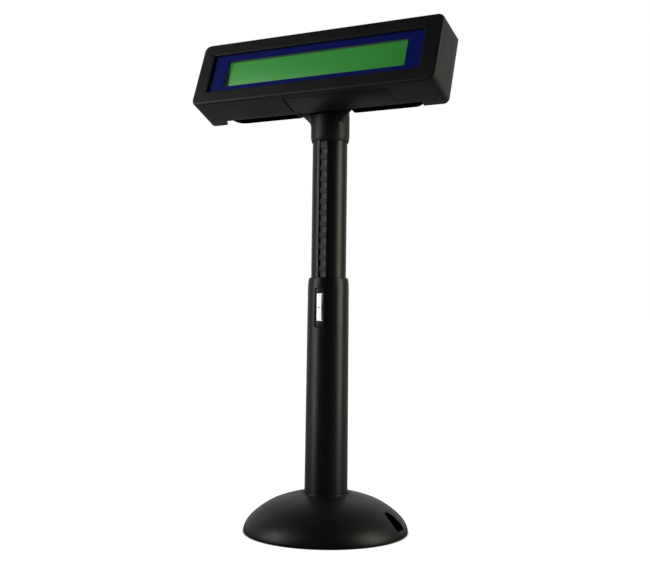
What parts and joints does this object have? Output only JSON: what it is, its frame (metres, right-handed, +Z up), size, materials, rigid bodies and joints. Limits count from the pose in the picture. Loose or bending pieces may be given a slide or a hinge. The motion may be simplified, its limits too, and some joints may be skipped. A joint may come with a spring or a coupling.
{
  "type": "customer pole display",
  "caption": "Two-line customer display head that tilts and swivels on a telescoping round pole with a detent ladder, standing on a weighted domed base.",
  "frame": {"origin": "centre of the base's underside, on the pole axis, where the foot ring meets the counter", "axes": "+Z up along the pole, display faces -Y, +X to the right of a person reading the display"},
  "size_m": [0.2236, 0.1376, 0.417],
  "materials": {
    "case_plastic": "fine texture",
    "pole_plastic": "satin",
    "rubber": "matte",
    "plate_steel": "plated",
    "blue_panel": "printed film",
    "surround_plastic": "matte",
    "green_filter": "tinted acrylic",
    "tube_glass": "sealed glass",
    "board": "solder mask",
    "component_black": "moulded",
    "natural_plastic": "natural acetal",
    "friction_fibre": "fibre",
    "bright_steel": "bright",
    "spring_steel": "blued steel",
    "cable_sheath": "matte sheath",
    "label_film": "film",
    "zinc_steel": "zinc plated"
  },
  "bodies": {
    "base": {"base_cover": "case_plastic", "data_socket": "component_black", "detent_frame": "pole_plastic", "detent_leaf": "bright_steel", "foot_ring": "rubber", "lower_pole": "pole_plastic", "plate_screw_1": "zinc_steel", "plate_screw_2": "zinc_steel", "plate_screw_3": "zinc_steel", "pole_lead": "cable_sheath", "pole_screw_1": "zinc_steel", "pole_screw_2": "zinc_steel", "pole_screw_3": "zinc_steel", "weight_plate": "plate_steel"},
    "detent": {"detent_pin": "spring_steel"},
    "pole": {"slide_bush": "natural_plastic", "swivel_bush": "natural_plastic", "swivel_clip": "spring_steel", "swivel_washer": "friction_fibre", "upper_pole": "pole_plastic"},
    "neck": {"friction_washer_left": "friction_fibre", "friction_washer_right": "friction_fibre", "inline_connector": "natural_plastic", "neck": "pole_plastic", "spring_washer_left": "spring_steel", "spring_washer_right": "spring_steel", "tilt_nut_left": "zinc_steel", "tilt_nut_right": "zinc_steel", "tilt_pin_left": "zinc_steel", "tilt_pin_right": "zinc_steel"},
    "head": {"blue_panel": "blue_panel", "board_connector": "natural_plastic", "board_screw_1": "zinc_steel", "board_screw_2": "zinc_steel", "board_screw_3": "zinc_steel", "board_screw_4": "zinc_steel", "bracket_screw_left_1": "zinc_steel", "bracket_screw_left_2": "zinc_steel", "bracket_screw_right_1": "zinc_steel", "bracket_screw_right_2": "zinc_steel", "case_screw_1": "zinc_steel", "case_screw_2": "zinc_steel", "case_screw_3": "zinc_steel", "case_screw_4": "zinc_steel", "controller_chip": "component_black", "display_board": "board", "display_tube": "tube_glass", "front_case": "case_plastic", "green_filter": "green_filter", "head_lead": "cable_sheath", "power_coil": "component_black", "rating_label": "label_film", "rear_cover": "case_plastic", "tilt_bracket_left": "spring_steel", "tilt_bracket_right": "spring_steel", "window_surround": "surround_plastic"}
  },
  "joints": [
    {"name": "pole_height", "type": "slide", "parent": "base", "child": "pole", "axis": [0, 0, 1], "range_m": [-0.1128, 0], "deforming": ["pole_lead"]},
    {"name": "detent_press", "type": "slide", "parent": "base", "child": "detent", "axis": [0.0262, -0.9997, 0], "range_m": [0, 0.0024], "deforming": ["detent_leaf"]},
    {"name": "head_swivel", "type": "hinge", "parent": "pole", "child": "neck", "pos_m": [0, 0, 0.338], "axis": [0, 0, 1], "range_deg": [-150, 150]},
    {"name": "head_tilt", "type": "hinge", "parent": "neck", "child": "head", "pos_m": [0, -0.002, 0.368], "axis": [-1, 0, 0], "range_deg": [-6, 24], "deforming": ["head_lead"]}
  ]
}
